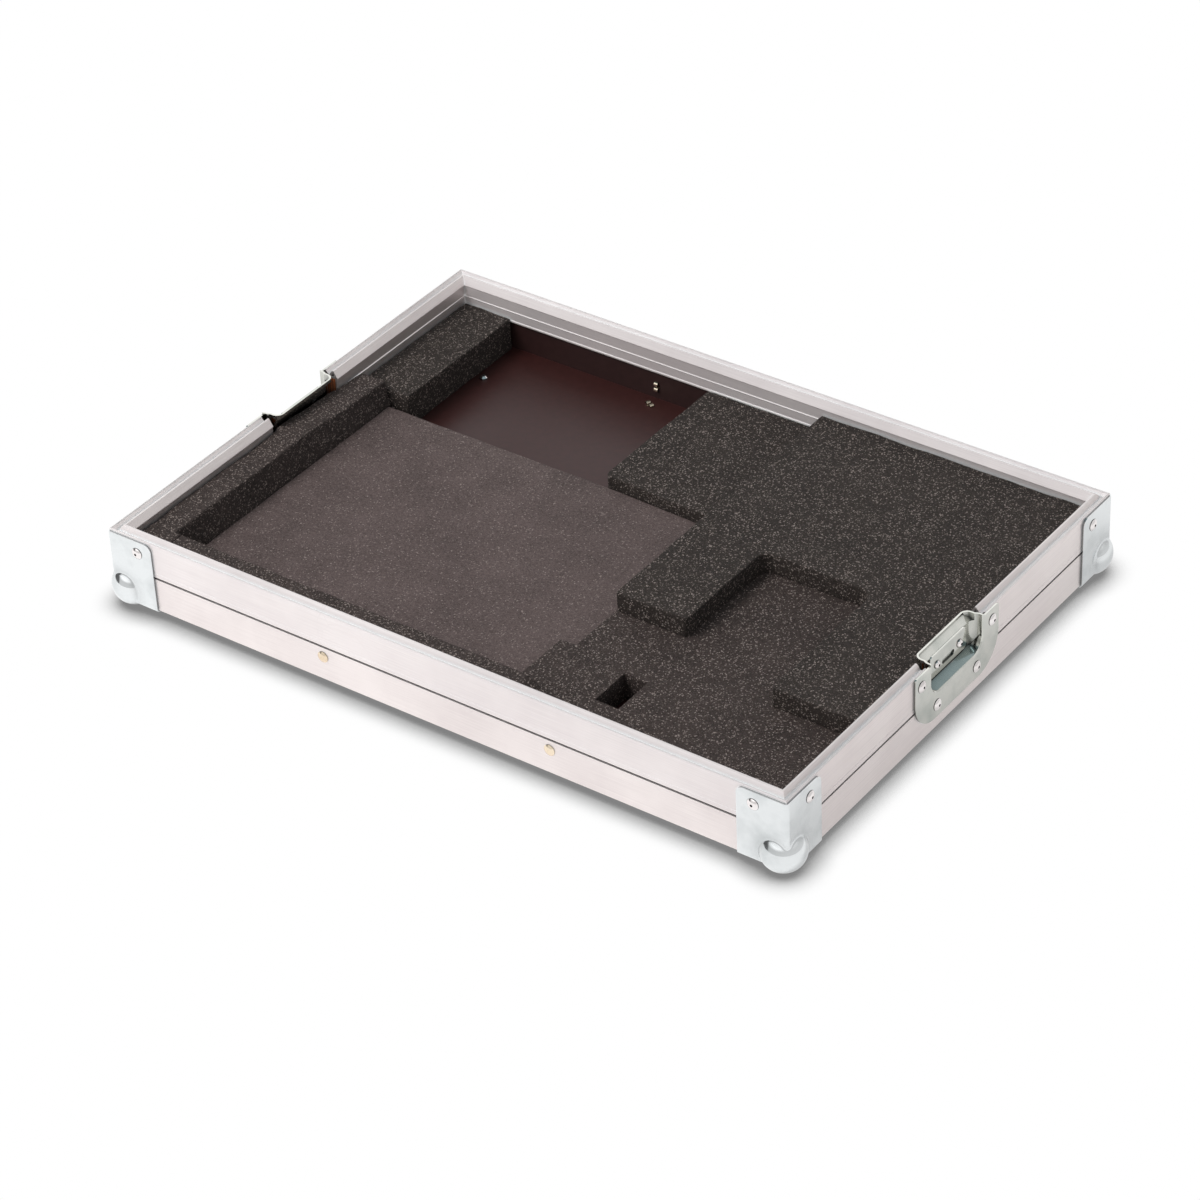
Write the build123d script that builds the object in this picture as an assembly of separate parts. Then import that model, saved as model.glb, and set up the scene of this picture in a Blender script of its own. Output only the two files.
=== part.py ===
"""Lower half of a pedalboard case: a plywood tray in aluminium profiles, with steel corners and foam."""

import os

from build123d import *

# All sizes are in millimetres. X runs along the case, Y from front to back, Z up from the ground.
# Heights are counted from the underside of the profiles, unless a line says otherwise.

# Tray
case_length = 622.0
case_width = 448.0
tray_height = 63.5
board_thickness = 9.0
sheet_thickness = 1.5
drill_gap = 0.15

# Lower edge angle
edge_height = 30.0
edge_reach = 30.0
edge_rounding = 1.2

# Closing profile, with drops counted from the top of its tongue
panel_gap = 2.0
groove_rise = 4.4
groove_width = 1.2
groove_depth = 0.15
lip_drop = 1.0
valley_drop = 4.2
valley_start = 3.6
valley_end = 4.9
tongue_start = 7.8
tongue_end = 9.2
tongue_wall = 1.3
tongue_bulge = 0.7
web_thickness = 1.4
ledge_drop = 7.0
nose_reach = 0.8
nose_height = 0.9
inner_leg = 20.0
ridge_height = 10.0
ridge_size = 0.6

# Ball corners
corner_width = 41.8
corner_drop = 3.0
corner_rounding = 6.0
corner_bend = 3.0
foot_chamfer = 14.0
ball_radius = 18.0
ball_inset = 10.0
ball_height = 10.0
ball_blend = 4.0
corner_rivet_inset = 27.5
corner_rivet_drop = 11.0

# Catch dishes, centred on the short ends, with heights counted up from the flange's lower edge
dish_width = 116.0
dish_drop = 1.5
dish_height = 51.0
dish_low_rounding = 28.0
dish_top_rounding = 2.0
mouth_width = 71.0
mouth_bottom = 22.0
mouth_rounding = 13.0
mouth_lip = 1.0
dish_depth = 9.2
recess_rounding = 7.0
recess_ledge_rise = 4.0
scoop_drop = 2.0
scoop_rise = 4.0
scoop_depth = 5.3
scoop_width = 68.0
scoop_rounding = 5.0
dish_clearance = 1.0
notch_width = 82.0
dish_side_rivet = 49.0
dish_side_rivet_height = 40.5
dish_low_rivet = 27.5
dish_low_rivet_height = 10.8

# Keeper plates inside the dishes
keeper_thickness = 1.2
keeper_width = 50.0
keeper_height = 19.5
keeper_bottom = 27.5
keeper_rounding = 3.0
keeper_slot_length = 17.0
keeper_slot_height = 5.0
keeper_slot_centre = 6.5
keeper_rivet = 15.5
keeper_rivet_height = 9.0

# Rivets
shank_radius = 2.4
head_radius = 4.8
head_height = 2.1
head_brim = 0.4
mandrel_radius = 1.1
mandrel_depth = 1.2
blind_length = 9.0
tail_radius = 3.3
tail_length = 2.8
small_head_radius = 3.4
small_tail_length = 0.5
tail_gap = 0.6
leg_thickness = 1.1
leg_width = 3.4
leg_curl = 1.3
leg_split = 0.3
floor_rivet_turn = -25.0
side_rivet_inset = 206.0
side_rivet_height = 21.5
floor_rivet_inset = 22.0
lone_rivet_left = 67.0
lone_rivet_back = 62.4

# Foam, with widths counted from the foam's faces at the walls and thicknesses up from the floor board
foam_wall_gap = 0.4
foam_gap = 0.3
left_strip_width = 30.0
left_strip_thickness = 41.5
left_strip_lean = 6.0
left_strip_sag = 4.5
left_strip_sag_length = 107.0
front_strip_width = 21.0
front_strip_thickness = 41.0
back_left_width = 47.0
back_left_depth = 140.0
back_left_thickness = 29.5
storage_depth = 145.0
pad_thickness = 17.5
filler_width = 110.5
filler_depth = 143.0
filler_skew = 5.0
filler_thickness = 26.5
filler_rounding = 6.0
base_width = 240.5
base_thickness = 24.0
base_step_width = 14.0
base_step_depth = 87.0
top_thickness = 17.5
lobe_width = 64.5
lobe_setback = 138.0
pocket_setback = 181.0
pocket_rounding = 10.0
shelf_width = 77.0
shelf_setback = 102.0
slot_from_right = 169.0
slot_width = 21.0
slot_from_front = 40.0
slot_depth = 37.5
foam_rounding = 3.0

# Heights and depths that follow from the sizes above
stand = ball_radius - ball_height
wall = sheet_thickness + board_thickness
floor_top = wall
rim_depth = wall + sheet_thickness
rim_bottom = edge_height + panel_gap
lip_top = tray_height - lip_drop
valley = tray_height - valley_drop
board_top = valley - web_thickness - sheet_thickness
ledge = tray_height - ledge_drop
corner_top = tray_height - corner_drop
dish_top = tray_height - dish_drop
dish_bottom = dish_top - dish_height
notch_bottom = dish_bottom + mouth_bottom - sheet_thickness - dish_clearance
foam_x = case_length / 2 - rim_depth - ridge_size - foam_wall_gap
foam_y = case_width / 2 - rim_depth - ridge_size - foam_wall_gap
bay_left = left_strip_width - foam_x
bay_front = front_strip_width - foam_y
bay_back = foam_y - storage_depth
bay_right = foam_x - base_width
bay_step = base_step_depth - foam_y
step_left = bay_right - base_step_width
strip_back = foam_y - back_left_depth
filler_left = bay_right - filler_width
filler_front = foam_y - filler_depth
lobe_front = lobe_setback - foam_y
pocket_left = bay_right + lobe_width
pocket_right = foam_x - shelf_width
pocket_back = foam_y - pocket_setback
shelf_front = shelf_setback - foam_y
slot_right = foam_x - slot_from_right
slot_front = slot_from_front - foam_y
side_rivet = case_length / 2 - side_rivet_inset

# Each wall: its outer length, how far its outer face lies from the centre, and its turn from the front
walls = {
    "front": (case_length, case_width / 2, 0),
    "right": (case_width, case_length / 2, 90),
    "back": (case_length, case_width / 2, 180),
    "left": (case_width, case_length / 2, 270),
}
# Each corner: the turn from the front left one
corners = {"front_left": 0, "front_right": 90, "back_right": 180, "back_left": 270}


def on_wall(side, shape):
    """Takes a shape made with its wall's outer face at Y = 0, inward along +Y, to its place."""
    _, setback, turn = walls[side]
    return Rot(0, 0, turn) * Pos(0, -setback, 0) * shape


def on_corner(name, shape):
    """Takes a shape made with the case's corner at the origin, inward along +X and +Y, to its place."""
    turn = corners[name]
    across = case_length if turn % 180 == 0 else case_width
    along = case_width if turn % 180 == 0 else case_length
    return Rot(0, 0, turn) * Pos(-across / 2, -along / 2, 0) * shape


def block(x_min, x_max, y_min, y_max, z_min, z_max):
    """A box between two opposite corners."""
    return Pos(x_min, y_min, z_min) * Box(x_max - x_min, y_max - y_min, z_max - z_min, align=Align.MIN)


def slab(outline, z_min, z_max):
    """A flat outline in plan, raised from one height to another."""
    return extrude(Pos(0, 0, z_min) * outline, z_max - z_min, dir=(0, 0, 1))


def merge(shapes):
    """One shape out of several."""
    return Part() + list(shapes)


# Profiles


def mitred(section, run):
    """A section drawn as (inward, up), run along a wall and cut to a mitre at both ends."""
    bar = extrude(Plane.YZ * section, run / 2, both=True)
    share = Polygon((-run / 2, 0), (run / 2, 0), (0, run / 2), align=None)
    return bar & extrude(share, 2 * tray_height, both=True)


def edge_section():
    """The lower angle: a side leg and a bottom leg."""
    outline = Polygon(
        (0, 0),
        (edge_reach, 0),
        (edge_reach, sheet_thickness),
        (sheet_thickness, sheet_thickness),
        (sheet_thickness, edge_height),
        (0, edge_height),
        align=None,
    )
    heel = outline.vertices().sort_by_distance((0, 0, 0))[0]
    return fillet(heel, edge_rounding)


def rim_section():
    """The closing profile: an outer leg with a lip, a hollow tongue, and an inner leg over the board."""
    lip_mid = (sheet_thickness / 2, lip_top)
    lip_side = lip_top - sheet_thickness / 2
    crest = tongue_start - tongue_bulge * 2
    crest_height = tray_height - (tray_height - valley) * 0.4
    inner_foot = ledge - inner_leg
    ridge = inner_foot + ridge_height
    shell = make_face([
        Line((0, rim_bottom), (0, lip_side)),
        ThreePointArc((0, lip_side), lip_mid, (sheet_thickness, lip_side)),
        Polyline((sheet_thickness, lip_side), (valley_start, valley), (valley_end, valley)),
        ThreePointArc((valley_end, valley), (crest, crest_height), (tongue_start, tray_height)),
        Polyline(
            (tongue_start, tray_height),
            (tongue_end, tray_height),
            (rim_depth + nose_reach * 0.7, ledge + nose_height * 1.3),
            (rim_depth + nose_reach, ledge + nose_height * 0.7),
            (rim_depth, ledge - nose_height * 0.3),
            (rim_depth, ridge + ridge_size),
            (rim_depth + ridge_size, ridge),
            (rim_depth, ridge - ridge_size),
            (rim_depth, inner_foot + 3 * ridge_size),
            (rim_depth + ridge_size, inner_foot + 2 * ridge_size),
            (rim_depth + ridge_size, inner_foot),
            (wall, inner_foot),
            (wall, board_top),
            (sheet_thickness, board_top),
            (sheet_thickness, rim_bottom),
            (0, rim_bottom),
        ),
    ])
    hollow = Polygon(
        (valley_end + tongue_wall, board_top + web_thickness),
        (crest + tongue_wall, crest_height - tongue_wall),
        ((tongue_start + tongue_end) / 2, tray_height - tongue_wall),
        (wall, board_top + web_thickness),
        align=None,
    )
    groove = Pos(0, rim_bottom + groove_rise) * Rectangle(2 * groove_depth, groove_width)
    return shell - hollow - groove


# Rivets, drawn with the head's seat at the origin and the shank along +Z


def dome(head, hole):
    """The top of a rivet's head, from the edge of its hole, or from the middle, to its rim."""
    return TangentArc((hole, -head_height), (head, -head_brim), tangent=(1, 0))


def blind_rivet(length, head=head_radius, tail=0.0):
    """A domed rivet with a mandrel hole, and a bulbed tail where it comes out of the board."""
    half = [
        (mandrel_radius, -head_height),
        (mandrel_radius, mandrel_depth - head_height),
        (0, mandrel_depth - head_height),
        (0, length + tail),
    ]
    if tail:
        half += [(tail_radius / 2, length + tail), (tail_radius, length + tail / 2), (tail_radius, length)]
    half += [(shank_radius, length), (shank_radius, 0), (head, 0), (head, -head_brim)]
    return revolve(Plane.XZ * make_face([Polyline(*half), dome(head, mandrel_radius)]), Axis.Z)


def split_rivet(length, turn=0.0):
    """A solid-headed rivet whose two legs are curled outward over the board."""
    half = [
        (0, -head_height),
        (0, length),
        (shank_radius, length),
        (shank_radius, 0),
        (head_radius, 0),
        (head_radius, -head_brim),
    ]
    body = revolve(Plane.XZ * make_face([Polyline(*half), dome(head_radius, 0)]), Axis.Z)
    strip = Pos(leg_thickness / 2 + leg_split / 2, 0, length) * Rectangle(leg_thickness, leg_width)
    curl = Axis((leg_split / 2 + leg_thickness + leg_curl, 0, length), (0, 1, 0))
    leg = revolve(strip, curl, revolution_arc=180)
    return Rot(0, 0, turn) * (body + leg + Rot(0, 0, 180) * leg)


def drill(length, tail=0.0, reach=tail_radius):
    """The hole that a rivet's shank goes through, with room for its tail."""
    upward = (Align.CENTER, Align.CENTER, Align.MIN)
    hole = Cylinder(shank_radius + drill_gap, length + head_height, align=upward)
    if tail:
        hole += Pos(0, 0, length) * Cylinder(reach + tail_gap, tail + tail_gap, align=upward)
    return hole


def inward(x, z, proud):
    """The place of a rivet on a wall: along it, its height, and how far its seat stands proud."""
    return Pos(x, -proud, z) * Rot(-90, 0, 0)


def corner_rivet_places():
    """Two rivets for each corner, one on each face."""
    height = corner_top - corner_rivet_drop
    for side, (run, _, _) in walls.items():
        for end in (-1, 1):
            yield side, inward(end * (run / 2 - corner_rivet_inset), height, sheet_thickness)


def dish_rivet_places(side):
    """Four rivets round a catch dish."""
    for end in (-1, 1):
        yield side, inward(end * dish_side_rivet, dish_bottom + dish_side_rivet_height, sheet_thickness)
        yield side, inward(end * dish_low_rivet, dish_bottom + dish_low_rivet_height, sheet_thickness)


def keeper_rivet_places(side):
    """Two rivets through a keeper plate and the back of its dish."""
    for end in (-1, 1):
        height = dish_bottom + keeper_bottom + keeper_rivet_height
        yield side, inward(end * keeper_rivet, height, keeper_thickness + sheet_thickness - dish_depth)


def side_rivet_places():
    """Rivets through the lower angle and the long boards."""
    for side in ("front", "back"):
        for end in (-1, 1):
            yield side, inward(end * side_rivet, side_rivet_height, 0)


def floor_rivet_places():
    """Rivets up through the lower angle and the floor board."""
    for x in (-side_rivet, side_rivet):
        for end in (-1, 1):
            yield Pos(x, end * (case_width / 2 - floor_rivet_inset), 0)


def lone_rivet_place():
    """The single bright rivet in the floor of the storage bay."""
    return Pos(lone_rivet_left - case_length / 2, case_width / 2 - lone_rivet_back, 0)


ends = ("left", "right")
corner_drills = [on_wall(side, place * drill(blind_length)) for side, place in corner_rivet_places()]
dish_drills = [
    on_wall(side, place * drill(blind_length)) for end in ends for side, place in dish_rivet_places(end)
]
split_drill = drill(wall, leg_thickness + leg_curl, leg_split / 2 + 2 * (leg_thickness + leg_curl))
side_drills = [on_wall(side, place * split_drill) for side, place in side_rivet_places()]
floor_drills = [place * split_drill for place in floor_rivet_places()]
lone_drill = lone_rivet_place() * drill(wall, tail_length)
wall_drills = merge(corner_drills + dish_drills + side_drills)
up_drills = merge(floor_drills + [lone_drill])


# Boards


def floor_panel():
    """The floor board, between the four wall boards."""
    x = case_length / 2 - wall
    y = case_width / 2 - wall
    return block(-x, x, -y, y, sheet_thickness, floor_top) - up_drills


def long_panel(side):
    """A front or back board, running the full length inside the profiles."""
    x = case_length / 2 - sheet_thickness
    return on_wall(side, block(-x, x, sheet_thickness, wall, sheet_thickness, board_top)) - wall_drills


def end_panel(side):
    """A short end board between the long ones, notched for its catch dish."""
    x = case_width / 2 - wall
    panel = block(-x, x, sheet_thickness, wall, sheet_thickness, board_top)
    notch = block(-notch_width / 2, notch_width / 2, 0, rim_depth, notch_bottom, tray_height)
    return on_wall(side, panel - notch) - wall_drills


# Metalwork


def edge(side):
    """One lower angle."""
    return on_wall(side, mitred(edge_section(), walls[side][0])) - wall_drills - up_drills


def rim(side):
    """One closing profile along a long wall."""
    return on_wall(side, mitred(rim_section(), walls[side][0])) - wall_drills


def end_rim(side, end):
    """Half of the closing profile on a short wall, cut off square at the catch dish."""
    run = walls[side][0]
    half = block(notch_width / 2, run, -sheet_thickness, run, 0, 2 * tray_height)
    if end < 0:
        half = Rot(0, 0, 180) * Pos(0, -run + sheet_thickness, 0) * half
    return on_wall(side, mitred(rim_section(), run) & half) - wall_drills


def ball_corner(name):
    """A pressed corner: two side plates and a foot plate, drawn out into a ball over the case's corner."""
    low = -sheet_thickness
    full = block(low, corner_width, low, corner_width, low, corner_top)
    folds = full.edges().filter_by(
        lambda edge: sum(abs(value - low) < sheet_thickness / 10 for value in edge @ 0.5) == 2
    )
    case = block(0, 2 * corner_width, 0, 2 * corner_width, 0, 2 * corner_top)
    face = Polygon((low, low), (corner_width, low), (corner_width, corner_top), (low, corner_top), align=None)
    face = fillet(face.vertices().sort_by_distance((corner_width, corner_top, 0))[0], corner_rounding)
    front = extrude(Plane.XZ * face, 2 * corner_width, both=True)
    side = extrude(Plane.YZ * face, 2 * corner_width, both=True)
    foot = Polygon(
        (low, low),
        (corner_width, low),
        (corner_width, corner_width - foot_chamfer),
        (corner_width - foot_chamfer, corner_width),
        (low, corner_width),
        align=None,
    )
    plates = (fillet(folds, corner_bend) - case) & front & side & slab(foot, low, corner_top)
    centre = Pos(ball_inset, ball_inset, ball_height)
    inside = centre * Sphere(ball_radius - sheet_thickness)
    shell = (plates - inside) + (centre * Sphere(ball_radius) - inside - case)
    middle = Vector(ball_inset, ball_inset, ball_height)
    creases = shell.edges().filter_by(
        lambda edge: abs((edge @ 0.5 - middle).length - ball_radius) < sheet_thickness / 10
        and min(edge @ 0.5) < low / 2
        and max(edge @ 0.5) > sheet_thickness
    )
    return on_corner(name, fillet(creases, ball_blend)) - merge(corner_drills)


# Catch dishes, drawn with the case's outer face at Y = 0 and the recess inward along +Y


def dish_recess(grow):
    """The hollow of a catch dish, open to the front and the top, made larger all round by the given amount."""
    depth = dish_depth - sheet_thickness + grow
    low = dish_bottom + mouth_bottom - grow
    sky = 2 * tray_height
    proud = 4 * sheet_thickness
    back = tray_height - scoop_drop - scoop_rise
    slope = recess_ledge_rise / dish_depth
    outline = Polygon(
        (-proud, dish_bottom + mouth_bottom - slope * (proud - sheet_thickness)),
        (dish_depth - sheet_thickness, dish_bottom + mouth_bottom + recess_ledge_rise),
        (dish_depth - sheet_thickness, back),
        (dish_depth - sheet_thickness + scoop_depth, back + scoop_rise),
        (dish_depth - sheet_thickness + scoop_depth, sky),
        (-proud, sky),
        align=None,
    )
    if grow:
        outline = offset(outline, grow, kind=Kind.INTERSECTION)
    section = extrude(Plane.YZ * outline, dish_width / 2, both=True)

    half = mouth_width / 2 + grow
    plan = Polygon((-half, -proud), (half, -proud), (half, depth), (-half, depth), align=None)
    plan = fillet(plan.vertices().sort_by(Axis.Y)[-2:], recess_rounding + grow)
    face = Polygon((-half, low), (half, low), (half, sky), (-half, sky), align=None)
    face = fillet(face.vertices().sort_by(Axis.Y)[:2], mouth_rounding + grow)
    bowl = slab(plan, 0, sky) & extrude(Plane.XZ * face, dish_width / 2, both=True) & section

    half = scoop_width / 2 + grow
    deep = depth + scoop_depth
    scoop = Polygon((-half, -proud), (half, -proud), (half, deep), (-half, deep), align=None)
    scoop = fillet(scoop.vertices().sort_by(Axis.Y)[-2:], scoop_rounding + grow)
    hollow = bowl + (slab(scoop, back - grow, sky) & section)
    if grow:
        return hollow
    lip = offset(face, mouth_lip, kind=Kind.INTERSECTION)
    flare = Pos(0, -sheet_thickness, 0) * extrude(Plane.XZ * lip, -mouth_lip, taper=45)
    return hollow + flare


def catch_dish(side):
    """A flange on the outer faces, with a recess pressed in through the notch."""
    half = dish_width / 2
    flange = Polygon(
        (-half, dish_bottom), (half, dish_bottom), (half, dish_top), (-half, dish_top), align=None
    )
    flange = fillet(flange.vertices().sort_by(Axis.Y)[:2], dish_low_rounding)
    flange = fillet(flange.vertices().sort_by(Axis.Y)[-2:], dish_top_rounding)
    plate = extrude(Plane.XZ * flange, sheet_thickness)
    bowl = dish_recess(sheet_thickness) & block(-half, half, -sheet_thickness, half, 0, tray_height)
    dish = plate + bowl - dish_recess(0)
    return on_wall(side, dish) - merge(dish_drills + keeper_drills)


def keeper_plate(side):
    """The plate that a lid's catch would pull against, with a slot behind which its claw goes."""
    low = dish_bottom + keeper_bottom
    outline = Pos(0, low + keeper_height / 2) * RectangleRounded(keeper_width, keeper_height, keeper_rounding)
    slot = Pos(0, low + keeper_slot_centre) * SlotOverall(keeper_slot_length, keeper_slot_height)
    back = dish_depth - sheet_thickness
    plate = Pos(0, back, 0) * extrude(Plane.XZ * (outline - slot), keeper_thickness)
    return on_wall(side, plate) - merge(keeper_drills)


keeper_drills = [
    on_wall(side, place * drill(keeper_thickness + sheet_thickness))
    for end in ends
    for side, place in keeper_rivet_places(end)
]


# Foam


def left_foam_strip():
    """The strip along the left end, its inner face leaning behind the front strip, its top sagging."""
    top = floor_top + left_strip_thickness
    pad_top = floor_top + pad_thickness
    right = bay_left - foam_gap
    outline = Polygon(
        (-foam_x, floor_top),
        (right, floor_top),
        (right, pad_top),
        (right - left_strip_lean, top),
        (-foam_x, top),
        align=None,
    )
    back = strip_back - foam_gap
    strip = Pos(0, back, 0) * extrude(Plane.XZ * outline, back - bay_front)
    strip += block(-foam_x, right, -foam_y, bay_front, floor_top, top)
    sag_from = strip_back - left_strip_sag_length
    sag = Polygon(
        (sag_from, top), (strip_back, top - left_strip_sag), (strip_back, 2 * top), (sag_from, 2 * top),
        align=None,
    )
    return strip - Pos(-foam_x, 0, 0) * extrude(Plane.YZ * sag, foam_x, both=True) - lone_drill


def front_foam_strip():
    """The strip along the front wall, from the left strip to the right base."""
    strip = block(
        bay_left, step_left - foam_gap, -foam_y, bay_front - foam_gap,
        floor_top, floor_top + front_strip_thickness,
    )
    return strip - wall_drills - up_drills


def back_left_foam_block():
    """The lower block in the back left corner."""
    return block(
        -foam_x, back_left_width - foam_x, strip_back, foam_y, floor_top, floor_top + back_left_thickness
    ) - up_drills


def filler_edge(inset):
    """The two ends of the filler's front edge, which isn't quite square to the case."""
    right = bay_right - foam_gap
    return (filler_left, filler_front - inset), (right, filler_front - filler_skew - inset)


def centre_foam_pad():
    """The smooth sheet in the main bay, cut round the right base and the filler."""
    left_end, right_end = filler_edge(2 * foam_gap)
    outline = Polygon(
        (bay_left, bay_front),
        (step_left - foam_gap, bay_front),
        (step_left - foam_gap, bay_step + foam_gap),
        (bay_right - foam_gap, bay_step + foam_gap),
        right_end,
        (left_end[0], min(left_end[1], bay_back)),
        (bay_left, bay_back),
        align=None,
    )
    return slab(outline, floor_top, floor_top + pad_thickness) - up_drills


def filler_foam_block():
    """The loose block that fills the right end of the storage bay."""
    left_end, right_end = filler_edge(0)
    outline = Polygon(left_end, right_end, (right_end[0], foam_y), (left_end[0], foam_y), align=None)
    outline = fillet(outline.vertices().sort_by(Axis.Y)[:2], filler_rounding)
    return slab(outline, floor_top, floor_top + filler_thickness) - up_drills


def right_base_foam():
    """The lower sheet on the right, with one small hole down to the floor."""
    outline = Polygon(
        (step_left, -foam_y),
        (foam_x, -foam_y),
        (foam_x, foam_y),
        (bay_right, foam_y),
        (bay_right, bay_step),
        (step_left, bay_step),
        align=None,
    )
    sheet = slab(outline, floor_top, floor_top + base_thickness)
    hole = block(slot_right - slot_width, slot_right, slot_front, slot_front + slot_depth, 0, tray_height)
    return sheet - hole - wall_drills - up_drills


def right_top_foam():
    """The upper sheet on the right, cut out for a pedal and set back from the front."""
    low = floor_top + base_thickness
    outline = Polygon(
        (bay_right, foam_y),
        (foam_x, foam_y),
        (foam_x, shelf_front),
        (pocket_right, shelf_front),
        (pocket_right, pocket_back),
        (pocket_left, pocket_back),
        (pocket_left, lobe_front),
        (bay_right, lobe_front),
        align=None,
    )
    inner = [v for v in outline.vertices() if pocket_left <= v.X <= pocket_right and v.Y == pocket_back]
    outline = fillet(inner, pocket_rounding)
    outer = [v for v in outline.vertices() if v.Y in (lobe_front, shelf_front) and v.X < foam_x]
    outline = fillet(outer, foam_rounding)
    return slab(outline, low, low + top_thickness)


# Pieces


def rivets_on_walls(places, rivet):
    """One rivet at each place."""
    return [on_wall(side, place * rivet) for side, place in places]


def both_ends(places):
    """The places on the left end, then those on the right."""
    return [item for end in ends for item in places(end)]


pieces = {
    "floor_panel": floor_panel(),
    "front_panel": long_panel("front"),
    "back_panel": long_panel("back"),
    "left_panel": end_panel("left"),
    "right_panel": end_panel("right"),
    "rim_front": rim("front"),
    "rim_back": rim("back"),
    "rim_left_front": end_rim("left", 1),
    "rim_left_back": end_rim("left", -1),
    "rim_right_front": end_rim("right", -1),
    "rim_right_back": end_rim("right", 1),
    "left_foam_strip": left_foam_strip(),
    "front_foam_strip": front_foam_strip(),
    "back_left_foam_block": back_left_foam_block(),
    "centre_foam_pad": centre_foam_pad(),
    "filler_foam_block": filler_foam_block(),
    "right_base_foam": right_base_foam(),
    "right_top_foam": right_top_foam(),
}
for wall_name in walls:
    pieces[f"edge_{wall_name}"] = edge(wall_name)
for corner_name in corners:
    pieces[f"corner_{corner_name}"] = ball_corner(corner_name)
for end_name in ends:
    pieces[f"catch_dish_{end_name}"] = catch_dish(end_name)
    pieces[f"keeper_{end_name}"] = keeper_plate(end_name)

short_rivet = blind_rivet(blind_length)
small_rivet = blind_rivet(keeper_thickness + sheet_thickness, small_head_radius, small_tail_length)
groups = {
    "corner_rivets": rivets_on_walls(corner_rivet_places(), short_rivet),
    "dish_rivets": rivets_on_walls(both_ends(dish_rivet_places), short_rivet),
    "keeper_rivets": rivets_on_walls(both_ends(keeper_rivet_places), small_rivet),
    "edge_side_rivets": rivets_on_walls(side_rivet_places(), split_rivet(wall, 90)),
    "edge_floor_rivets": [place * split_rivet(wall, floor_rivet_turn) for place in floor_rivet_places()],
    "floor_rivet": [lone_rivet_place() * blind_rivet(wall, tail=tail_length)],
}
for group_name, members in groups.items():
    pieces[group_name] = merge(members)

os.makedirs("parts", exist_ok=True)
for piece_name, piece in pieces.items():
    solids = [Pos(0, 0, stand) * solid for solid in piece.solids()]
    export_step(solids[0] if len(solids) == 1 else Compound(children=solids), f"parts/{piece_name}.step")
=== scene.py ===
"""Looks of the case tray: worn profiles, pressed corners, film-faced board, cut foam, and a pale studio."""

import math

import bmesh
import bpy
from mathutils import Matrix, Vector


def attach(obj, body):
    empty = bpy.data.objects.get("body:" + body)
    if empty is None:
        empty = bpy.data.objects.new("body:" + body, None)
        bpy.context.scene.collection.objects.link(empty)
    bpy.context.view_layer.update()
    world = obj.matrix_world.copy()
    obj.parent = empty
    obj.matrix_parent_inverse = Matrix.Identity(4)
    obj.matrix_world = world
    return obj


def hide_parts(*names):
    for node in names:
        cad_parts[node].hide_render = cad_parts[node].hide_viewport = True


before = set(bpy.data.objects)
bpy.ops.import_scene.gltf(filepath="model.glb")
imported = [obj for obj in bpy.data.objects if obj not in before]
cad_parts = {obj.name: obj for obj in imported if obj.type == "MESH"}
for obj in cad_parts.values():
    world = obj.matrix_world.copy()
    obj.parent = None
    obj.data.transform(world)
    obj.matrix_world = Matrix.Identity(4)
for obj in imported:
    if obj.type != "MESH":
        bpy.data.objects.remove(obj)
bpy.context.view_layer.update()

# Lengths are in metres, angles in degrees. X runs along the case, Y to its back, Z up.

# Camera
CAMERA_PLACE = (1.56682, -2.08507, 1.86960)
CAMERA_TURN = (54.1366, 2.2498, 35.5121)
CAMERA_LENS = 124.154
SENSOR_WIDTH = 36.0
FARTHEST_SEEN = 50.0

# Softbox, high in front of the left half
LAMP_PLACE = (-1.22, -1.42, 2.47)
LAMP_SIZE = 1.3
LAMP_POWER = 75.0

# Strength of the light from all round: low at the left and right, then at mid height and overhead
LEFTWARD = (-0.9, -0.43, 0.0)
SKY_LEFT = 1.0
SKY_RIGHT = 0.35
SKY_MID = 0.25
SKY_TOP = 0.5

# Strength of what metal mirrors: walls, a dim ceiling with a lamp in its middle, and a dark gap far left
MIRRORED_LOW = 0.72
MIRRORED_RIGHT = 0.95
MIRRORED_LEFT = 1.5
MIRRORED_MID = 0.32
MIRRORED_TOP = 2.2
MIRRORED_GAP = 0.2
MIRRORED_TINT = (0.68, 0.92, 1.0, 1.0)
WHITE = (1.0, 1.0, 1.0, 1.0)

# Floor
FLOOR_HALF = 6.0
FLOOR_SHADE = 0.5
FLOOR_GLOW = 0.5
SHADOW_REACH = 0.026

# Profiles: nodes by the way they run
PROFILES = {
    "edge_long": ("edge_front", "edge_back"),
    "edge_short": ("edge_left", "edge_right"),
    "rim_long": ("rim_front", "rim_back"),
    "rim_short": ("rim_left_front", "rim_left_back", "rim_right_front", "rim_right_back"),
}
ALONG_LENGTH = (0.01, 1, 1)
ALONG_WIDTH = (1, 0.01, 1)
FLUTE_STEP = 0.007
FLUTE_START = 0.013
FLUTE_RELIEF = 0.35
# How far the painted light in the roots of the profiles' hollows reaches
ROOT_LIGHT_REACH = 0.004

# Pressed steel and rivets
CORNERS = ("corner_front_left", "corner_front_right", "corner_back_left", "corner_back_right")
CATCH_PARTS = ("catch_dish_left", "catch_dish_right", "keeper_left", "keeper_right")
STEEL_RIVETS = ("corner_rivets", "dish_rivets", "keeper_rivets", "floor_rivet")
COPPER_RIVETS = ("edge_side_rivets", "edge_floor_rivets")
# How far the painted shade in creases and recesses of the pressed steel reaches
CREASE_SHADE_REACH = 0.007
POCKET_SHADE_REACH = 0.012
RELIEF_DEPTH = 0.0002

# Boards, of film-faced plywood
PLY_PAIR = 0.003

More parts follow.
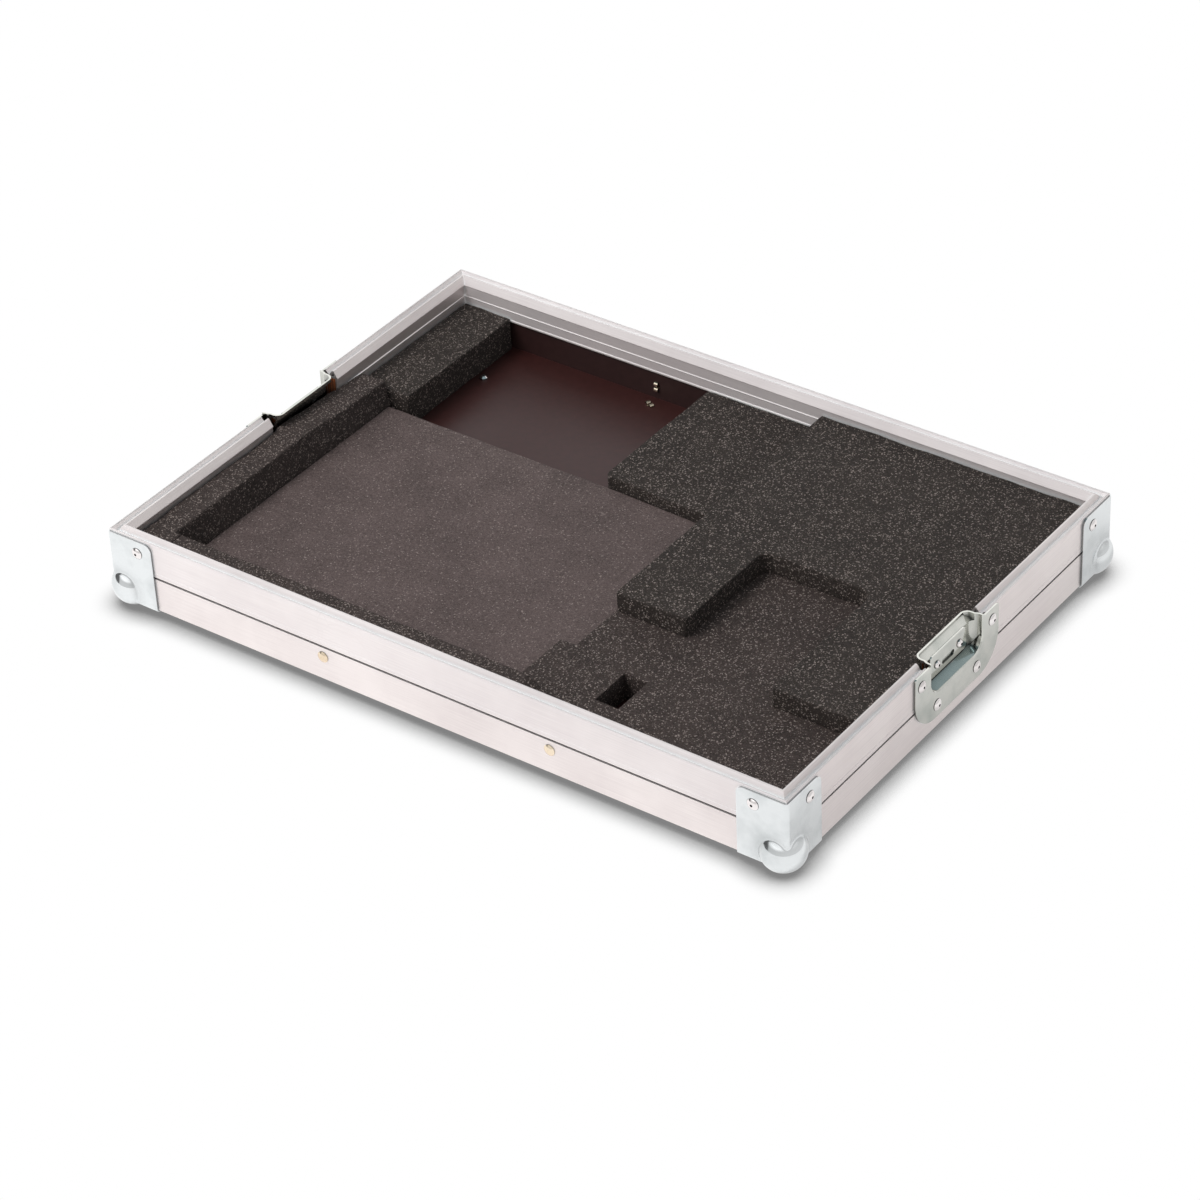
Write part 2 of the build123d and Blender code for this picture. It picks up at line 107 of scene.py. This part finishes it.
# Foam: node, body it moves with, finish, width of its softened arrises, and how far its faces wander
FOAM = {
    "left_foam_strip": ("tray", "coarse_foam", 0.0011, 0.0011),
    "front_foam_strip": ("tray", "coarse_foam", 0.0008, 0.0006),
    "back_left_foam_block": ("tray", "dark_foam", 0.0008, 0.0006),
    "centre_foam_pad": ("tray", "smooth_foam", 0.0012, 0.0003),
    "filler_foam_block": ("filler", "dark_foam", 0.0009, 0.0008),
    "right_base_foam": ("tray", "coarse_foam", 0.0006, 0.0005),
    "right_top_foam": ("tray", "dark_foam", 0.0010, 0.0007),
}
FOAM_GRID = 0.004
WAVES_PER_METRE = 28.0
SAME_PLACE = 1e-6
FLAT_ANGLE = 0.02
SHARP_ANGLE = 0.6

# Left strip: its bulge through the end board's notch
SWELL = 0.0028
SWELL_DEPTH = 0.014
SWELL_EASE = 0.006
NOTCH_HALF = 0.0395

# Front strip: its right end, drawn out over the base sheet
END_REACH = 0.020
END_DROP = 0.018
END_SLOPE = 1.6

# Kinds of node socket
VECTOR = "NodeSocketVector"
COLOUR = "NodeSocketColor"
NUMBER = "NodeSocketFloat"
FACE = [("Colour", COLOUR), ("Roughness", NUMBER), ("Height", NUMBER)]


# Node helpers


def new_group(name, inputs, outputs):
    """A shader node group with named sockets. Gives the group, what goes in, and what comes out."""
    group = bpy.data.node_groups.new(name, "ShaderNodeTree")
    for label, kind, start in inputs:
        group.interface.new_socket(name=label, in_out="INPUT", socket_type=kind).default_value = start
    for label, kind in outputs:
        group.interface.new_socket(name=label, in_out="OUTPUT", socket_type=kind)
    return group, group.nodes.new("NodeGroupInput").outputs, group.nodes.new("NodeGroupOutput").inputs


def add(tree, kind, sockets=None, **settings):
    """Adds a node. Each of its sockets is linked to an output or set to a value. Gives its outputs."""
    made = tree.nodes.new(kind)
    for label, value in settings.items():
        setattr(made, label, value)
    for label, value in (sockets or {}).items():
        if isinstance(value, bpy.types.NodeSocket):
            tree.links.new(value, made.inputs[label])
        else:
            made.inputs[label].default_value = value
    return made.outputs


def calc(tree, operation, *values):
    """One sum on numbers."""
    return add(tree, "ShaderNodeMath", dict(enumerate(values)), operation=operation)[0]


def times(tree, first, second):
    """One number times another."""
    return calc(tree, "MULTIPLY", first, second)


def plus(tree, first, second):
    """One number added to another."""
    return calc(tree, "ADD", first, second)


def stretch(tree, place, amounts):
    """A place scaled differently along each axis."""
    return add(tree, "ShaderNodeVectorMath", {0: place, 1: amounts}, operation="MULTIPLY")[0]


def scaled(tree, vector, amount):
    """A place, shift or colour scaled evenly."""
    return add(tree, "ShaderNodeVectorMath", {0: vector, "Scale": amount}, operation="SCALE")[0]


def reach_along(tree, vector, direction):
    """How far a vector goes in a direction."""
    return add(tree, "ShaderNodeVectorMath", {0: vector, 1: direction}, operation="DOT_PRODUCT")["Value"]


def noise(tree, place, scale, detail=2.0, roughness=0.5):
    """Soft noise from 0 to 1."""
    sockets = {"Vector": place, "Scale": scale, "Detail": detail, "Roughness": roughness}
    return add(tree, "ShaderNodeTexNoise", sockets)["Fac"]


def openness(tree, reach, samples=8, own_shape_only=False):
    """How open a place is, from 0 deep in a crease to 1 in the clear."""
    return add(tree, "ShaderNodeAmbientOcclusion", {"Distance": reach}, samples=samples,
               only_local=own_shape_only)["AO"]


def between(tree, value, low, high, to_low=0.0, to_high=1.0):
    """A value moved from one range to another, and kept within it."""
    sockets = {"Value": value, "From Min": low, "From Max": high, "To Min": to_low, "To Max": to_high}
    return add(tree, "ShaderNodeMapRange", sockets)[0]


def blend_number(tree, factor, first, second):
    """A number between two."""
    return add(tree, "ShaderNodeMix", {0: factor, 2: first, 3: second}, data_type="FLOAT")[0]


def blend_colour(tree, factor, first, second):
    """A colour between two."""
    return add(tree, "ShaderNodeMix", {0: factor, 6: first, 7: second}, data_type="RGBA")[2]


def rgb(red, green, blue):
    """A colour as the photograph's 0 to 255 numbers, made linear."""
    def linear(value):
        value /= 255
        return value / 12.92 if value <= 0.04045 else ((value + 0.055) / 1.055) ** 2.4
    return (linear(red), linear(green), linear(blue), 1.0)


# Shared effects


def hairline_scratches():
    """Thin crossing scratches, where a soft mask lets them through."""
    group, given, out = new_group(
        "hairline scratches",
        [("Place", VECTOR, (0, 0, 0)), ("Amount", NUMBER, 0.5), ("Spacing", NUMBER, 60.0)],
        [("Scratch", NUMBER)],
    )
    lines = []
    for turn in ((0.3, 0.5, 0.2), (-0.7, 0.1, 1.1), (0.9, -0.6, 2.0)):
        turned = add(group, "ShaderNodeMapping", {"Vector": given["Place"], "Rotation": turn,
                                                  "Scale": (1.0, 0.12, 1.0)})[0]
        edge = add(group, "ShaderNodeTexVoronoi", {"Vector": turned, "Scale": given["Spacing"]},
                   feature="DISTANCE_TO_EDGE")["Distance"]
        lines.append(between(group, edge, 0.004, 0.014, 1.0, 0.0))
    crossed = calc(group, "MAXIMUM", calc(group, "MAXIMUM", lines[0], lines[1]), lines[2])
    mask = between(group, noise(group, given["Place"], 22.0, 3.0), 0.45, 0.62)
    group.links.new(times(group, times(group, crossed, mask), given["Amount"]), out["Scratch"])
    return group


def drawn_lines(scratches):
    """Die lines along a drawn profile, flutes on its side, dull patches, scratches, and painted light in the
    roots of hollows.
    """
    group, given, out = new_group(
        "drawn lines",
        [("Place", VECTOR, (0, 0, 0)), ("Along", VECTOR, (0.01, 1, 1)), ("Pale", COLOUR, (0.8, 0.8, 0.8, 1)),
         ("Dull", COLOUR, (0.6, 0.6, 0.6, 1)), ("Flutes", NUMBER, 0.0), ("Painted root light", NUMBER, 0.6)],
        FACE,
    )
    run = stretch(group, given["Place"], given["Along"])
    fine = noise(group, run, 1500.0)
    broad = noise(group, run, 300.0)
    patches = noise(group, given["Place"], 9.0, 4.0, 0.6)
    scratch = add(group, "ShaderNodeGroup", {"Place": given["Place"], "Amount": 1.0, "Spacing": 30.0},
                  node_tree=scratches)["Scratch"]
    worn = between(group, plus(group, times(group, fine, 0.6), patches), 0.62, 1.12)
    worn = calc(group, "MAXIMUM", worn, times(group, scratch, 0.35))
    face = blend_colour(group, worn, given["Pale"], given["Dull"])
    # Painted light: the colour is whitened in the roots of hollows, where less light would reach.
    root_light = between(group, openness(group, ROOT_LIGHT_REACH), 0.5, 0.85, 1.0, 0.0)
    group.links.new(blend_colour(group, times(group, root_light, given["Painted root light"]), face, WHITE), out["Colour"])
    group.links.new(between(group, patches, 0.3, 0.7, 0.38, 0.48), out["Roughness"])
    rise = add(group, "ShaderNodeSeparateXYZ", {"Vector": given["Place"]})["Z"]
    turns = times(group, calc(group, "SUBTRACT", rise, FLUTE_START), 2 * math.pi / FLUTE_STEP)
    flutes = times(group, times(group, calc(group, "COSINE", turns), -1.0), given["Flutes"])
    height = plus(group, times(group, fine, 0.16), times(group, broad, 0.3))
    height = plus(group, height, flutes)
    group.links.new(calc(group, "SUBTRACT", height, times(group, scratch, 0.25)), out["Height"])
    return group


def pressed_wear(scratches):
    """Soft clouding on plated pressed steel, with scuffs, and painted shade that darkens its creases and, on
    its own shape, its recesses.
    """
    group, given, out = new_group(
        "pressed wear",
        [("Place", VECTOR, (0, 0, 0)), ("Pale", COLOUR, (0.8, 0.8, 0.8, 1)),
         ("Dull", COLOUR, (0.6, 0.6, 0.6, 1)), ("Scuffs", NUMBER, 0.5), ("Shine", NUMBER, 0.2),
         ("Crease shade", NUMBER, 0.8), ("Pocket shade", NUMBER, 0.0)],
        FACE,
    )
    clouds = noise(group, given["Place"], 42.0, 3.0)
    specks = noise(group, given["Place"], 700.0)
    scratch = add(group, "ShaderNodeGroup", {"Place": given["Place"], "Amount": given["Scuffs"],
                                             "Spacing": 60.0}, node_tree=scratches)["Scratch"]
    worn = calc(group, "MAXIMUM", between(group, clouds, 0.45, 0.72), times(group, scratch, 0.5))
    face = blend_colour(group, worn, given["Pale"], given["Dull"])
    # Painted shade: near black laid over the colour in creases, and in recesses of the part's own shape,
    # where shade falls.
    crease = between(group, openness(group, CREASE_SHADE_REACH), 0.55, 0.85, 1.0, 0.0)
    pocket_shade_mask = between(group, openness(group, POCKET_SHADE_REACH, own_shape_only=True), 0.74, 0.93, 1.0, 0.0)
    crease = times(group, crease, given["Crease shade"])
    pocket_shade_mask = times(group, pocket_shade_mask, given["Pocket shade"])
    shaded = blend_colour(group, calc(group, "MAXIMUM", crease, pocket_shade_mask), face, rgb(30, 34, 37))
    group.links.new(shaded, out["Colour"])
    uneven = between(group, clouds, 0.3, 0.7, -0.03, 0.05)
    group.links.new(plus(group, uneven, given["Shine"]), out["Roughness"])
    height = plus(group, times(group, specks, 0.12), times(group, clouds, 0.6))
    group.links.new(calc(group, "SUBTRACT", height, times(group, scratch, 0.4)), out["Height"])
    return group


def foam_cells():
    """Cut foam: cells of two sizes, each with its own tone, and painted glints on scattered cells."""
    group, given, out = new_group(
        "foam cells",
        [("Place", VECTOR, (0, 0, 0)), ("Cells per metre", NUMBER, 600.0),
         ("Deep", COLOUR, (0.02, 0.02, 0.02, 1)), ("Raised", COLOUR, (0.1, 0.1, 0.1, 1)),
         ("Skin", COLOUR, (0.2, 0.2, 0.2, 1)), ("Glint share", NUMBER, 0.1)],
        FACE,
    )
    cells = add(group, "ShaderNodeTexVoronoi", {"Vector": given["Place"], "Scale": given["Cells per metre"]})
    fine_count = times(group, given["Cells per metre"], 1.9)
    fine = add(group, "ShaderNodeTexVoronoi", {"Vector": given["Place"], "Scale": fine_count})
    chance = add(group, "ShaderNodeSeparateColor", {"Color": cells["Color"]})
    fine_chance = add(group, "ShaderNodeSeparateColor", {"Color": fine["Color"]})
    hollow = between(group, cells["Distance"], 0.0, 0.75)
    shade = plus(group, times(group, chance[0], 0.45), times(group, hollow, 0.3))
    shade = plus(group, shade, times(group, fine_chance[0], 0.25))
    drift = between(group, noise(group, given["Place"], 25.0, 3.0), 0.35, 0.65, -0.08, 0.08)
    body = blend_colour(group, plus(group, shade, drift), given["Deep"], given["Raised"])
    # Painted glints: a share of the cells take a bright colour standing for light glinting off cell walls.
    glinting_cell = calc(group, "GREATER_THAN", chance[1], calc(group, "SUBTRACT", 1.0, given["Glint share"]))
    glint = times(group, glinting_cell, chance[2])
    group.links.new(blend_colour(group, glint, body, given["Skin"]), out["Colour"])
    group.links.new(between(group, fine_chance[1], 0.7, 1.0, 0.85, 0.5), out["Roughness"])
    height = plus(group, hollow, times(group, chance[1], 0.8))
    group.links.new(plus(group, height, times(group, fine_chance[2], 0.5)), out["Height"])
    return group


def film_face():
    """Phenolic film over plywood on the faces across one axis, and bare plies on the sawn edges."""
    group, given, out = new_group(
        "film face",
        [("Place", VECTOR, (0, 0, 0)), ("Facing", VECTOR, (0, 0, 1)), ("Side", VECTOR, (0, 0, 1)),
         ("Film", COLOUR, (0.05, 0.03, 0.03, 1)), ("Wood", COLOUR, (0.3, 0.1, 0.04, 1))],
        FACE,
    )
    facing = reach_along(group, given["Facing"], given["Side"])
    film = between(group, calc(group, "ABSOLUTE", facing), 0.6, 0.8)
    depth = reach_along(group, given["Place"], given["Side"])
    plies = calc(group, "SINE", times(group, depth, 2 * math.pi / PLY_PAIR))
    grain = noise(group, stretch(group, given["Place"], (8, 60, 60)), 8.0, 6.0, 0.6)
    ply = between(group, plus(group, times(group, plies, 0.25), grain), 0.1, 0.9)
    wood = blend_colour(group, ply, scaled(group, given["Wood"], 0.35), given["Wood"])
    mottle = noise(group, given["Place"], 160.0, 3.0, 0.6)
    pale = scaled(group, given["Film"], 1.25)
    face = blend_colour(group, between(group, mottle, 0.35, 0.7), given["Film"], pale)
    group.links.new(blend_colour(group, film, wood, face), out["Colour"])
    gloss = between(group, noise(group, given["Place"], 12.0), 0.3, 0.7, 0.40, 0.45)
    group.links.new(blend_number(group, film, 0.8, gloss), out["Roughness"])
    group.links.new(plus(group, times(group, mottle, 0.3), times(group, ply, 0.3)), out["Height"])
    return group


# Finishes


def finish_with(name, group, sockets, bump, distance, metallic, specular=0.5):
    """A material whose colour, roughness and bump come from a group."""
    material = bpy.data.materials.new(name)
    material.use_nodes = True
    tree = material.node_tree
    surface = tree.nodes["Principled BSDF"]
    coords = tree.nodes.new("ShaderNodeTexCoord").outputs
    marks = tree.nodes.new("ShaderNodeGroup")
    marks.node_tree = group
    tree.links.new(coords["Object"], marks.inputs["Place"])
    if "Facing" in marks.inputs:
        tree.links.new(coords["Normal"], marks.inputs["Facing"])
    for label, value in sockets.items():
        marks.inputs[label].default_value = value
    tree.links.new(marks.outputs["Colour"], surface.inputs["Base Color"])
    tree.links.new(marks.outputs["Roughness"], surface.inputs["Roughness"])
    relief = add(tree, "ShaderNodeBump", {"Strength": bump, "Distance": distance,
                                         "Height": marks.outputs["Height"]})
    tree.links.new(relief["Normal"], surface.inputs["Normal"])
    surface.inputs["Metallic"].default_value = metallic
    surface.inputs["Specular IOR Level"].default_value = specular
    return material


SCRATCHES = hairline_scratches()
DRAWN = drawn_lines(SCRATCHES)
PRESSED = pressed_wear(SCRATCHES)
CELLS = foam_cells()
FILM = film_face()

drawn_colours = {"Pale": rgb(240, 232, 230), "Dull": rgb(222, 213, 212)}
# The long rims take the full painted light in the roots of their hollows.
rim_colours = {"Pale": rgb(234, 227, 226), "Dull": rgb(216, 208, 208), "Painted root light": 1.0}


def drawn_aluminium(name, along, flutes=0.0, metallic=0.85, colours=drawn_colours):
    """Aluminium drawn along one axis."""
    sockets = {"Along": along, "Flutes": flutes, **colours}
    return finish_with(name, DRAWN, sockets, 0.28, RELIEF_DEPTH, metallic)


def pressed_steel(name, pale, dull, shine, bump, pocket_shade=0.0):
    """Plated steel or rivet metal, pressed to shape."""
    sockets = {"Pale": pale, "Dull": dull, "Shine": shine, "Pocket shade": pocket_shade}
    return finish_with(name, PRESSED, sockets, bump, RELIEF_DEPTH, 1.0)


aluminium = {
    "edge_long": drawn_aluminium("fluted_long_aluminium", ALONG_LENGTH, FLUTE_RELIEF),
    "edge_short": drawn_aluminium("fluted_short_aluminium", ALONG_WIDTH, FLUTE_RELIEF),
    "rim_long": drawn_aluminium("long_aluminium", ALONG_LENGTH, metallic=0.5, colours=rim_colours),
    "rim_short": drawn_aluminium("short_aluminium", ALONG_WIDTH),
}
# Both zinc finishes darken their recesses with painted shade.
zinc_plate = pressed_steel("zinc_plate", rgb(229, 232, 233), rgb(208, 212, 213), 0.09, 0.06, pocket_shade=0.9)
catch_zinc = pressed_steel("catch_zinc", rgb(210, 210, 204), rgb(186, 190, 184), 0.09, 0.03, pocket_shade=0.35)
rivet_steel = pressed_steel("rivet_steel", rgb(244, 239, 238), rgb(226, 220, 218), 0.1, 0.08)
rivet_copper = pressed_steel("rivet_copper", rgb(244, 228, 204), rgb(214, 188, 156), 0.22, 0.15)

coarse_cells = {"Cells per metre": 1150.0, "Deep": rgb(18, 15, 14), "Skin": rgb(156, 144, 138), "Glint share": 0.16}
smooth_cells = {"Cells per metre": 1100.0, "Deep": rgb(46, 39, 38), "Raised": rgb(107, 94, 92),
                "Skin": rgb(140, 128, 124), "Glint share": 0.06}
coarse_foam = finish_with(
    "coarse_foam", CELLS, {"Raised": rgb(78, 68, 65), **coarse_cells}, 0.6, 0.0008, 0.0, 0.3)
dark_foam = finish_with(
    "dark_foam", CELLS, {"Raised": rgb(63, 56, 52), **coarse_cells}, 0.6, 0.0008, 0.0, 0.3)
smooth_foam = finish_with("smooth_foam", CELLS, smooth_cells, 0.35, 0.0005, 0.0, 0.3)


def film_board(name, side, film, gloss):
    """Film-faced plywood, its two faces across the side given."""
    sockets = {"Side": side, "Film": film, "Wood": rgb(176, 104, 66)}
    return finish_with(name, FILM, sockets, 0.1, RELIEF_DEPTH, 0.0, gloss)


wall_film = rgb(43, 27, 26)
floor_board = film_board("film_board_floor", (0, 0, 1), rgb(49, 24, 22), 0.45)
long_board = film_board("film_board_long", (0, 1, 0), wall_film, 0.5)
end_board = film_board("film_board_end", (1, 0, 0), wall_film, 0.5)


def paint(nodes, material):
    """Gives CAD nodes their finish."""
    for node in nodes:
        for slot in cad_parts[node].material_slots:
            slot.material = material


for way, profiles in PROFILES.items():
    paint(profiles, aluminium[way])
paint(CORNERS, zinc_plate)
paint(CATCH_PARTS, catch_zinc)
paint(STEEL_RIVETS, rivet_steel)
paint(COPPER_RIVETS, rivet_copper)
paint(("floor_panel",), floor_board)
paint(("front_panel", "back_panel"), long_board)
paint(("left_panel", "right_panel"), end_board)


# Foam


def surface_tree():
    """Geometry nodes that let a cut foam surface wander by a small amount."""
    tree = bpy.data.node_groups.new("cut foam surface", "GeometryNodeTree")
    socket = tree.interface.new_socket
    socket(name="Foam", in_out="INPUT", socket_type="NodeSocketGeometry")
    for label, start in (("Wander", 0.0005), ("Waves per metre", WAVES_PER_METRE)):
        socket(name=label, in_out="INPUT", socket_type=NUMBER).default_value = start
    socket(name="Finish", in_out="INPUT", socket_type="NodeSocketMaterial")
    socket(name="Foam", in_out="OUTPUT", socket_type="NodeSocketGeometry")
    given = tree.nodes.new("NodeGroupInput").outputs
    made = tree.nodes.new("NodeGroupOutput").inputs
    place = tree.nodes.new("GeometryNodeInputPosition").outputs[0]
    sockets = {"Vector": place, "Scale": given["Waves per metre"], "Detail": 3.0}
    waves = add(tree, "ShaderNodeTexNoise", sockets, normalize=False)["Color"]
    shift = scaled(tree, waves, given["Wander"])
    moved = add(tree, "GeometryNodeSetPosition", {"Geometry": given["Foam"], "Offset": shift})[0]
    real = add(tree, "GeometryNodeRealizeInstances", {"Geometry": moved})[0]
    painted = add(tree, "GeometryNodeSetMaterial", {"Geometry": real, "Material": given["Finish"]})[0]
    tree.links.new(painted, made["Foam"])
    return tree


def gridded_copy(node, name, arris):
    """A copy of a foam node, joined up, its arrises softened, and cut into a grid fine enough to bend."""
    work = bmesh.new()
    work.from_mesh(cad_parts[node].data)
    bmesh.ops.remove_doubles(work, verts=work.verts, dist=SAME_PLACE)
    bmesh.ops.dissolve_limit(work, angle_limit=FLAT_ANGLE, verts=work.verts, edges=work.edges)
    sharp = [edge for edge in work.edges if edge.calc_face_angle(0.0) > SHARP_ANGLE]
    bmesh.ops.bevel(work, geom=sharp, offset=arris, offset_type="OFFSET", segments=3, profile=0.5,
                    affect="EDGES", clamp_overlap=True)
    for axis in range(3):
        low = min(vert.co[axis] for vert in work.verts)
        high = max(vert.co[axis] for vert in work.verts)
        steps = max(1, round((high - low) / FOAM_GRID))
        across = Vector([float(axis == each) for each in range(3)])
        for step in range(1, steps):
            place = across * (low + (high - low) * step / steps)
            everything = work.verts[:] + work.edges[:] + work.faces[:]
            bmesh.ops.bisect_plane(work, geom=everything, plane_co=place, plane_no=across, dist=SAME_PLACE)
    bmesh.ops.triangulate(work, faces=work.faces)
    mesh = bpy.data.meshes.new(name)
    work.to_mesh(mesh)
    work.free()
    piece = bpy.data.objects.new(name, mesh)
    bpy.context.scene.collection.objects.link(piece)
    return piece


def bake_modifiers(piece):
    """Works the piece's modifiers into its mesh."""
    graph = bpy.context.evaluated_depsgraph_get()
    mesh = bpy.data.meshes.new_from_object(piece.evaluated_get(graph))
    piece.modifiers.clear()
    piece.data = mesh


SURFACE = surface_tree()
FINISHES = {
    "coarse_foam": (coarse_foam, "coarse_foam"),
    "dark_foam": (dark_foam, "coarse_foam"),
    "smooth_foam": (smooth_foam, "smooth_foam"),
}


def share(value):
    """A value kept from 0 to 1."""
    return min(1.0, max(0.0, value))


def swell(piece):
    """Lets the left strip bulge outward through the end board's notch, up to the back of the catch dish."""
    outer = min(vert.co.x for vert in piece.data.vertices)
    for vert in piece.data.vertices:
        along = share((NOTCH_HALF - abs(vert.co.y)) / SWELL_EASE)
        across = share(1.0 - (vert.co.x - outer) / SWELL_DEPTH)
        vert.co.x -= SWELL * along * across


def ease_end(piece):
    """Draws the front strip's right end over the base sheet and slopes it down onto the sheet's top."""
    end = max(vert.co.x for vert in piece.data.vertices)
    top = max(vert.co.z for vert in piece.data.vertices)
    for vert in piece.data.vertices:
        drawn = share((vert.co.x - end + END_REACH) / END_REACH)
        below = min(END_DROP, top - vert.co.z)
        vert.co.x += drawn * (END_REACH + END_SLOPE * below)


def cut_foam(node, body, finish, arris, wander):
    """One piece of foam, its arrises softened and its cut faces wandering."""
    piece = gridded_copy(node, node.replace("_foam", "") + "_cut_foam", arris)
    if node == "left_foam_strip":
        swell(piece)
    if node == "front_foam_strip":
        ease_end(piece)
    surface = piece.modifiers.new("surface", "NODES")
    surface.node_group = SURFACE
    sockets = {item.name: item.identifier for item in SURFACE.interface.items_tree if item.in_out == "INPUT"}
    surface[sockets["Wander"]] = wander
    surface[sockets["Waves per metre"]] = WAVES_PER_METRE
    surface[sockets["Finish"]] = FINISHES[finish][0]
    bake_modifiers(piece)
    piece.data.shade_smooth()
    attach(piece, body)
    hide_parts(node)


for foam_node, settings in FOAM.items():
    cut_foam(foam_node, *settings)


# Studio


def pale_floor():
    """A wide floor that is seen as white, with a soft narrow shadow where something stands close to it."""
    half = FLOOR_HALF
    mesh = bpy.data.meshes.new("studio_floor")
    rim = [(-half, -half, 0), (half, -half, 0), (half, half, 0), (-half, half, 0)]
    mesh.from_pydata(rim, [], [(0, 1, 2, 3)])
    floor = bpy.data.objects.new("studio_floor", mesh)
    bpy.context.scene.collection.objects.link(floor)
    material = bpy.data.materials.new("white_floor")
    material.use_nodes = True
    tree = material.node_tree
    tree.nodes.remove(tree.nodes["Principled BSDF"])
    seen = add(tree, "ShaderNodeLightPath")["Is Camera Ray"]
    lit = add(tree, "ShaderNodeBsdfDiffuse", {"Color": (FLOOR_SHADE, FLOOR_SHADE, FLOOR_SHADE, 1)})[0]
    glow = add(tree, "ShaderNodeEmission", {"Strength": FLOOR_GLOW})[0]
    lit = add(tree, "ShaderNodeAddShader", {0: lit, 1: glow})[0]
    shadow = between(tree, openness(tree, SHADOW_REACH, samples=12), 0.42, 0.88, 0.22, 1.0)
    white = add(tree, "ShaderNodeEmission", {"Strength": shadow})[0]
    face = add(tree, "ShaderNodeMixShader", {0: seen, 1: lit, 2: white})[0]
    tree.links.new(face, tree.nodes["Material Output"].inputs["Surface"])
    mesh.materials.append(material)


def studio_sky():
    """Light from all round, brighter on the left. The camera sees it white, and metal mirrors a room."""
    world = bpy.data.worlds.new("studio_sky")
    bpy.context.scene.world = world
    world.use_nodes = True
    tree = world.node_tree
    way = tree.nodes.new("ShaderNodeTexCoord").outputs["Generated"]
    height = add(tree, "ShaderNodeSeparateXYZ", {"Vector": way})["Z"]
    leftward = reach_along(tree, way, LEFTWARD)
    low_sky = between(tree, leftward, -0.9, 0.9, SKY_RIGHT, SKY_LEFT)
    high_sky = between(tree, height, 0.85, 1.0, SKY_MID, SKY_TOP)
    sky = blend_number(tree, between(tree, height, 0.45, 0.75), low_sky, high_sky)
    wall = between(tree, leftward, -0.7, 0.6, MIRRORED_RIGHT, MIRRORED_LEFT)
    wall = blend_number(tree, between(tree, height, 0.34, 0.5), MIRRORED_LOW, wall)
    ceiling = between(tree, height, 0.955, 0.99, MIRRORED_MID, MIRRORED_TOP)
    overhead = between(tree, height, 0.66, 0.72)
    room = blend_number(tree, overhead, wall, ceiling)
    room = times(tree, room, between(tree, leftward, 0.88, 0.94, 1.0, MIRRORED_GAP))
    path = add(tree, "ShaderNodeLightPath")
    strength = blend_number(tree, path["Is Glossy Ray"], sky, room)
    background = tree.nodes["Background"]
    tint = blend_colour(tree, times(tree, overhead, path["Is Glossy Ray"]), WHITE, MIRRORED_TINT)
    tree.links.new(tint, background.inputs["Color"])
    tree.links.new(calc(tree, "MAXIMUM", strength, path["Is Camera Ray"]), background.inputs["Strength"])


def softbox():
    """The main lamp, wide, high in front of the left half."""
    lamp = bpy.data.lights.new("softbox", "AREA")
    lamp.shape = "SQUARE"
    lamp.size = LAMP_SIZE
    lamp.energy = LAMP_POWER
    holder = bpy.data.objects.new("softbox", lamp)
    holder.location = LAMP_PLACE
    holder.rotation_euler = (-holder.location).to_track_quat("-Z", "Y").to_euler()
    holder.visible_glossy = False
    bpy.context.scene.collection.objects.link(holder)


def camera():
    """The photograph's viewpoint."""
    lens = bpy.data.cameras.new("camera")
    lens.lens = CAMERA_LENS
    lens.sensor_width = SENSOR_WIDTH
    lens.clip_end = FARTHEST_SEEN
    holder = bpy.data.objects.new("camera", lens)
    holder.location = CAMERA_PLACE
    holder.rotation_euler = [math.radians(turn) for turn in CAMERA_TURN]
    bpy.context.scene.collection.objects.link(holder)
    bpy.context.scene.camera = holder


pale_floor()
studio_sky()
softbox()
camera()
bpy.context.scene.view_settings.view_transform = "Standard"
